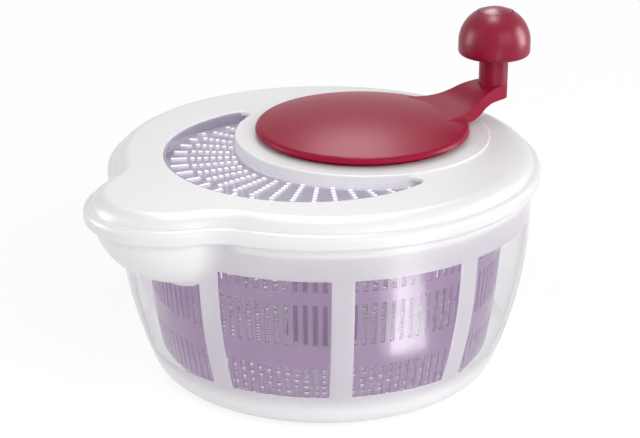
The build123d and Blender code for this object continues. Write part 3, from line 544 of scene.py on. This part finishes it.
def sieve_plastic():
    tint, cloud = (0.9, 0.88, 0.93, 1), (0.68, 0.66, 0.75, 1)
    return see_through("sieve_plastic", tint, cloud, cloud_share=0.4, roughness=0.15)


def painted_glow_edge():
    """Painted highlight and glow on the cut edges of clear plastic: a near-white colour and a light of its
    own stand in for the light they gather.
    """
    made, _, _ = material(
        "painted_glow_edge",
        Base_Color=(0.95, 0.95, 0.96, 1),
        Roughness=0.3,
        Emission_Color=grey(1),
        Emission_Strength=0.3,
    )
    return made


def lid_plastic():
    made, tree, skin = material(
        "satin_white_plastic",
        Base_Color=(0.84, 0.835, 0.845, 1),
        Roughness=0.36,
        Subsurface_Weight=0.2,
        Subsurface_Radius=(0.004, 0.004, 0.004),
        Subsurface_Scale=1.0,
    )
    where = moulded_grain(tree, skin, scale=1200, strength=0.06, distance=0.0003)
    uneven_gloss(tree, skin, where, scale=18, low=0.32, high=0.42)
    return made


def crimson_plastic(name, red, specular):
    made, tree, skin = material(name, Base_Color=red, Roughness=0.3, Specular_IOR_Level=specular)
    where = moulded_grain(tree, skin, scale=1500, strength=0.05, distance=0.0003)
    uneven_gloss(tree, skin, where, scale=22, low=0.3, high=0.36)
    return made


def steel():
    made, tree, skin = material(
        "bright_steel", Base_Color=(0.62, 0.62, 0.63, 1), Metallic=1.0, Roughness=0.3
    )
    where = moulded_grain(tree, skin, scale=2500, strength=0.04, distance=0.0002)
    uneven_gloss(tree, skin, where, scale=90, low=0.24, high=0.38)
    return made


def acetal():
    made, tree, skin = material("natural_acetal", Base_Color=(0.85, 0.85, 0.83, 1), Roughness=0.4)
    where = moulded_grain(tree, skin, scale=1400, strength=0.05, distance=0.0003)
    uneven_gloss(tree, skin, where, scale=40, low=0.36, high=0.48)
    return made


def soft_rubber():
    made, tree, skin = material("soft_rubber", Base_Color=(0.72, 0.72, 0.73, 1), Roughness=0.8)
    moulded_grain(tree, skin, scale=800, strength=0.2, distance=0.0004)
    return made


def paint_glow_on_edges(mesh, made, thickness):
    """Sides of the holes in a clear floor: upright faces within the floor's thickness, given the painted
    glow and highlight of the edge material.
    """
    mesh.materials.append(made)
    top = min(v.co.z for v in mesh.vertices) + thickness * MM
    for face in mesh.polygons:
        face.material_index = int(abs(face.normal.z) < UPRIGHT and face.center.z < top)


# Patterns that turn round an axis

def turning_tree():
    """Geometry Nodes tree that repeats a tile round the upright axis and welds the copies."""
    tree = bpy.data.node_groups.new("turn_round", "GeometryNodeTree")
    face = tree.interface
    face.new_socket("Tile", in_out="INPUT", socket_type="NodeSocketGeometry")
    face.new_socket("Copies", in_out="INPUT", socket_type="NodeSocketInt")
    face.new_socket("Finish", in_out="INPUT", socket_type="NodeSocketMaterial")
    face.new_socket("Ring", in_out="OUTPUT", socket_type="NodeSocketGeometry")
    nodes, links = tree.nodes, tree.links
    given, out = nodes.new("NodeGroupInput"), nodes.new("NodeGroupOutput")
    line = nodes.new("GeometryNodeMeshLine")
    line.inputs["Offset"].default_value = (0, 0, 0)
    index = nodes.new("GeometryNodeInputIndex")
    step = nodes.new("ShaderNodeMath")
    step.operation = "DIVIDE"
    step.inputs[0].default_value = 2 * pi
    turn = nodes.new("ShaderNodeMath")
    turn.operation = "MULTIPLY"
    about_z = nodes.new("ShaderNodeCombineXYZ")
    copies = nodes.new("GeometryNodeInstanceOnPoints")
    real = nodes.new("GeometryNodeRealizeInstances")
    join = nodes.new("GeometryNodeMergeByDistance")
    join.inputs["Distance"].default_value = WELD * MM
    finish = nodes.new("GeometryNodeSetMaterial")
    links.new(given.outputs["Copies"], line.inputs["Count"])
    links.new(given.outputs["Copies"], step.inputs[1])
    links.new(index.outputs[0], turn.inputs[0])
    links.new(step.outputs[0], turn.inputs[1])
    links.new(turn.outputs[0], about_z.inputs["Z"])
    links.new(line.outputs["Mesh"], copies.inputs["Points"])
    links.new(given.outputs["Tile"], copies.inputs["Instance"])
    links.new(about_z.outputs[0], copies.inputs["Rotation"])
    links.new(copies.outputs[0], real.inputs[0])
    links.new(real.outputs[0], join.inputs["Geometry"])
    links.new(join.outputs[0], finish.inputs["Geometry"])
    links.new(given.outputs["Finish"], finish.inputs["Material"])
    links.new(finish.outputs[0], out.inputs["Ring"])
    return tree


def turned_pattern(name, tile, copies, finish, tree):
    """Plain mesh of a tile repeated round the axis by Geometry Nodes."""
    holder = new_object(name, tile)
    pattern = holder.modifiers.new("pattern", "NODES")
    pattern.node_group = tree
    sockets = {s.name: s.identifier for s in tree.interface.items_tree if s.in_out == "INPUT"}
    pattern[sockets["Copies"]] = copies
    pattern[sockets["Finish"]] = finish
    evaluated = holder.evaluated_get(bpy.context.evaluated_depsgraph_get())
    mesh = bpy.data.meshes.new_from_object(evaluated)
    holder.modifiers.clear()
    holder.data = mesh
    return holder


def ring_tile(name, section, copies):
    """One copy's share of a turned ring, from its section as (radius, height)."""
    pitch = 2 * pi / copies
    points = [(r * cos(t), r * sin(t), z) for t in (0, pitch) for r, z in section]
    count = len(section)
    faces = [(i, i + count, i + 1 + count, i + 1) for i in range(count - 1)]
    return mesh_of(name, points, faces)


# Basket

def wall_tile():
    """One slot pitch of the basket's wall: outside, inside and the sides of three slots."""
    pitch = 2 * pi / SLOTS
    turns = [0, pitch * (1 - SLOT_SHARE) / 2, pitch * (1 + SLOT_SHARE) / 2, pitch]
    columns = range(len(turns) - 1)
    points, faces, index = [], [], {}

    def corner(row, column, inside):
        key = (row, column, inside)
        if key not in index:
            r, z, _ = BASKET_PROFILE[row]
            if inside:
                r, z = r - BASKET_WALL, max(z, BASKET_FLOOR_TOP)
            index[key] = len(points)
            points.append((r * cos(turns[column]), r * sin(turns[column]), z))
        return index[key]

    def corners(places, inside):
        return [corner(row, column, inside) for row, column in places]

    for row, (_, _, slotted) in enumerate(BASKET_PROFILE[:-1]):
        for column in columns:
            quad = [(row, column), (row, column + 1), (row + 1, column + 1), (row + 1, column)]
            if slotted and column == SLOT_COLUMN:
                for edge in zip(quad, quad[1:] + quad[:1]):
                    faces.append(corners(edge[::-1], False) + corners(edge, True))
            else:
                faces.append(corners(quad, False))
                faces.append(corners(quad[::-1], True))
    for column in columns:
        foot = [(0, column), (0, column + 1)]
        faces.append(corners(foot, True) + corners(foot[::-1], False))
    return mesh_of("basket_wall", points, faces)


def floor_tile():
    """One ray of the basket's floor, with a row of holes that widen outwards."""
    pitch = 2 * pi / FLOOR_RAYS
    arc = [pitch * (i / FLOOR_ARC_STEPS - 0.5) for i in range(FLOOR_ARC_STEPS + 1)]
    edge_r = BASKET_PROFILE[0][0]
    seeds = [Vector((edge_r * cos(t), edge_r * sin(t))) for t in arc]
    seeds += [Vector((BASKET_HUB_R * cos(t), BASKET_HUB_R * sin(t))) for t in reversed(arc)]
    loops = [list(range(len(seeds)))]
    for ring in range(FLOOR_RINGS):
        x = FLOOR_HOLE_LAST_R - FLOOR_HOLE_STEP * ring
        half, wide = FLOOR_HOLE / 2, x * pitch * FLOOR_HOLE_SHARE / 2
        hole = [(x - half, -wide), (x + half, -wide), (x + half, wide), (x - half, wide)]
        loops.append(list(range(len(seeds), len(seeds) + len(hole))))
        seeds += [Vector(p) for p in hole]
    flat, _, triangles, _, _, sources = delaunay_2d_cdt(seeds, [], loops, INSIDE_TRIANGLES, TILE_EPSILON)
    points = [(p.x, p.y, z) for z in (BASKET_FLOOR_TOP, BASKET_FLOOR_Z) for p in flat]
    under = len(flat)
    faces = []
    for triangle, source in zip(triangles, sources):
        # Loop 0 is the outline, and the others are holes
        if max(source) == 0:
            faces.append(tuple(triangle))
            faces.append(tuple(v + under for v in reversed(triangle)))
    for loop in loops[1:]:
        places = [min(range(under), key=lambda i: (flat[i] - seeds[v]).length) for v in loop]
        for a, b in zip(places, places[1:] + places[:1]):
            faces.append((b, a, a + under, b + under))
    return mesh_of("basket_floor", points, faces)


def make_basket(finish, edge_glow_paint, tree):
    wall = turned_pattern("basket_wall", wall_tile(), SLOTS, finish, tree)
    rim = turned_pattern("basket_rim", ring_tile("basket_rim", BASKET_RIM, SLOTS), SLOTS, finish, tree)
    floor = turned_pattern("basket_floor", floor_tile(), FLOOR_RAYS, finish, tree)
    # The sides of the floor's holes get a painted glow and highlight
    paint_glow_on_edges(floor.data, edge_glow_paint, BASKET_FLOOR_TOP - BASKET_FLOOR_Z)
    for piece in (wall, rim, floor):
        shade(piece.data, TURNED_SHARP)
    return wall, rim, floor


# Knob

def dome_rows(first_r, last_r, sink=0.0):
    """Points of the knob's dome between two radii, as (radius, height)."""
    start, end = acos(first_r / KNOB_R), acos(last_r / KNOB_R)
    turns = [start + (end - start) * i / DOME_STEPS for i in range(DOME_STEPS + 1)]
    return [(KNOB_R * cos(t), KNOB_SIDE_H + KNOB_DOME_H * sin(t) - sink) for t in turns]


def knob_section():
    """Section of the knob: bore, foot, side, dome, seat of the cap and pocket of the washer."""
    heel = KNOB_R - KNOB_EDGE_R
    rows = [(KNOB_BORE_R, 0)]
    for i in range(EDGE_STEPS + 1):
        turn = pi / 2 * i / EDGE_STEPS
        rows.append((heel + KNOB_EDGE_R * sin(turn), KNOB_EDGE_R - KNOB_EDGE_R * cos(turn)))
    rows += dome_rows(KNOB_R, KNOB_SEAT_R)
    rows += [(KNOB_SEAT_R, KNOB_SEAT_H), (KNOB_POCKET_R, KNOB_SEAT_H)]
    rows += [(KNOB_POCKET_R, KNOB_BORE_H), (KNOB_BORE_R, KNOB_BORE_H), rows[0]]
    return rows


def cap_section():
    return [(0, KNOB_SEAT_H), (CAP_R, KNOB_SEAT_H)] + dome_rows(CAP_R, 0, CAP_SINK)


def turned_on_knob(name, section, finish, tree):
    """Turned piece on the axis and the foot of the part's own knob."""
    piece = turned_pattern(name, ring_tile(name, section, KNOB_COPIES), KNOB_COPIES, finish, tree)
    corners = [v.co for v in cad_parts["knob"].data.vertices]
    low = Vector([min(c[i] for c in corners) for i in range(3)])
    high = Vector([max(c[i] for c in corners) for i in range(3)])
    middle = (low + high) / 2
    piece.data.transform(Matrix.Translation((middle.x, middle.y, low.z)))
    shade(piece.data, TURNED_SHARP)
    return piece


# Studio

def seen_ray(tree):
    """1 for a ray that is seen straight, mirrored or through plastic, and 0 for one that only lights."""
    path = tree.nodes.new("ShaderNodeLightPath")
    mirrored = larger(tree, path.outputs["Is Camera Ray"], path.outputs["Is Glossy Ray"])
    return larger(tree, mirrored, path.outputs["Is Transmission Ray"])


def set_world():
    """Even light, with a white background where it is seen."""
    scene.world = bpy.data.worlds.new("studio")
    scene.world.use_nodes = True
    tree = scene.world.node_tree
    tree.nodes.clear()
    light = tree.nodes.new("ShaderNodeBackground")
    white = tree.nodes.new("ShaderNodeBackground")
    for node, strength in ((light, WORLD_LIGHT), (white, WORLD_SEEN)):
        node.inputs["Color"].default_value = grey(1)
        node.inputs["Strength"].default_value = strength
    both = mixed(tree, seen_ray(tree), light, white)
    out = tree.nodes.new("ShaderNodeOutputWorld")
    tree.links.new(both.outputs[0], out.inputs["Surface"])


def make_floor():
    """Round pale floor that keeps the object's soft shadow."""
    work = bmesh.new()
    bmesh.ops.create_circle(work, cap_ends=True, segments=STUDIO_FLOOR_SIDES, radius=STUDIO_FLOOR_R)
    mesh = bpy.data.meshes.new("floor")
    work.to_mesh(mesh)
    work.free()
    floor = new_object("floor", mesh)
    made, tree, skin = material("pale_floor", Base_Color=grey(FLOOR_LIT), Roughness=0.9)
    shaded = tree.nodes.new("ShaderNodeBsdfDiffuse")
    shaded.inputs["Color"].default_value = grey(FLOOR_SEEN)
    glow = tree.nodes.new("ShaderNodeEmission")
    glow.inputs["Strength"].default_value = FLOOR_GLOW
    shown = tree.nodes.new("ShaderNodeAddShader")
    tree.links.new(shaded.outputs[0], shown.inputs[0])
    tree.links.new(glow.outputs[0], shown.inputs[1])
    both = mixed(tree, seen_ray(tree), skin, shown)
    tree.links.new(both.outputs[0], tree.nodes["Material Output"].inputs["Surface"])
    mesh.materials.append(made)


def look_along(made, direction):
    """Turn a lamp or the camera along a direction."""
    made.rotation_mode = "QUATERNION"
    made.rotation_quaternion = direction.to_track_quat("-Z", "Y")


def soft_box(name, azimuth, distance, height, width, length, watts, aim_z, mirrored_only):
    """Lamp that faces the bowl's axis, or a card that only shows in the gloss. The camera sees neither."""
    lamp = bpy.data.lights.new(name, "AREA")
    lamp.shape = "RECTANGLE"
    lamp.size, lamp.size_y = width, length
    lamp.energy = watts
    made = new_object(name, lamp)
    made.visible_diffuse = not mirrored_only
    made.visible_transmission = not mirrored_only
    made.visible_camera = False
    turn = radians(CAMERA_AZIMUTH + azimuth)
    made.location = (distance * sin(turn), -distance * cos(turn), height)
    look_along(made, Vector((0, 0, aim_z)) - made.location)


def set_camera():
    camera = new_object("camera", bpy.data.cameras.new("camera"))
    turn, pitch = radians(CAMERA_AZIMUTH), radians(CAMERA_PITCH)
    back = Vector((sin(turn) * cos(pitch), -cos(turn) * cos(pitch), sin(pitch)))
    right = Vector((cos(turn), sin(turn), 0))
    target = Vector((0, 0, TARGET_Z)) + right * CAMERA_SIDE
    camera.location = (target + back * CAMERA_DISTANCE) * MM
    look_along(camera, -back)
    camera.data.sensor_width = SENSOR
    camera.data.lens = FOCAL_PIXELS / PHOTO_WIDTH * SENSOR
    camera.data.clip_start, camera.data.clip_end = CLIP_START, CLIP_END
    scene.camera = camera


def finish_node(node, made):
    """A solid of the part that stays as it is, with a finish."""
    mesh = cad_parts[node].data
    mesh.materials.clear()
    mesh.materials.append(made)


# Rays pass many sheets of plastic on their way through the bowl and the basket
scene.view_settings.view_transform = "Standard"
scene.cycles.transparent_max_bounces = CLEAR_BOUNCES
scene.cycles.max_bounces = BOUNCES
scene.cycles.transmission_bounces = BOUNCES

FROSTED, CLEAR, LAVENDER = frosted_plastic(), clear_plastic(), basket_plastic()
# The edge material paints a highlight and a glow onto the sides of holes in clear plastic
SIEVE, PAINTED_GLOW_EDGE = sieve_plastic(), painted_glow_edge()
WHITE, STEEL, NATURAL = lid_plastic(), steel(), acetal()
CRIMSON = crimson_plastic("crimson_plastic", red=(0.34, 0.009, 0.042, 1), specular=0.06)
KNOB_CRIMSON = crimson_plastic("crimson_knob", red=(0.27, 0.005, 0.033, 1), specular=0.22)

FINISHES = {
    STEEL: ("pivot_pin", "plate_screws", "dog_screw", "gear_screws", "axle_washer", "axle_screw",
            "post_screw", "knob_washer", "knob_screw"),
    NATURAL: ("pivot_bush", "axle_bush", "pinion_bush", "pinion", "drive_dog", "ring_gear"),
    WHITE: ("lid", "gear_plate"),
    CRIMSON: ("crank",),
    KNOB_CRIMSON: ("knob_post",),
    LAVENDER: ("basket_column",),
    SIEVE: ("inlet_sieve",),
    soft_rubber(): ("foot_ring",),
}
for made, nodes in FINISHES.items():
    for node in nodes:
        finish_node(node, made)
# The sides of the sieve's holes get a painted glow and highlight
paint_glow_on_edges(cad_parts["inlet_sieve"].data, PAINTED_GLOW_EDGE, SIEVE_T)

bowl = make_bowl((FROSTED, CLEAR))
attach(bowl, "bowl")
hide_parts("bowl")

turning = turning_tree()
for piece in make_basket(LAVENDER, PAINTED_GLOW_EDGE, turning):
    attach(piece, "basket")
    if piece.name == "basket_wall":
        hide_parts("basket")

KNOB_PIECES = (("knob_head", knob_section(), "knob"), ("knob_plug", cap_section(), "knob_cap"))
for name, section, node in KNOB_PIECES:
    piece = turned_on_knob(name, section, KNOB_CRIMSON, turning)
    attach(piece, "knob")
    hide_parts(node)

set_world()
make_floor()
for name, setting in LAMPS.items():
    soft_box(name, *setting, mirrored_only=False)
for name, setting in CARDS.items():
    soft_box(name, *setting, mirrored_only=True)
set_camera()
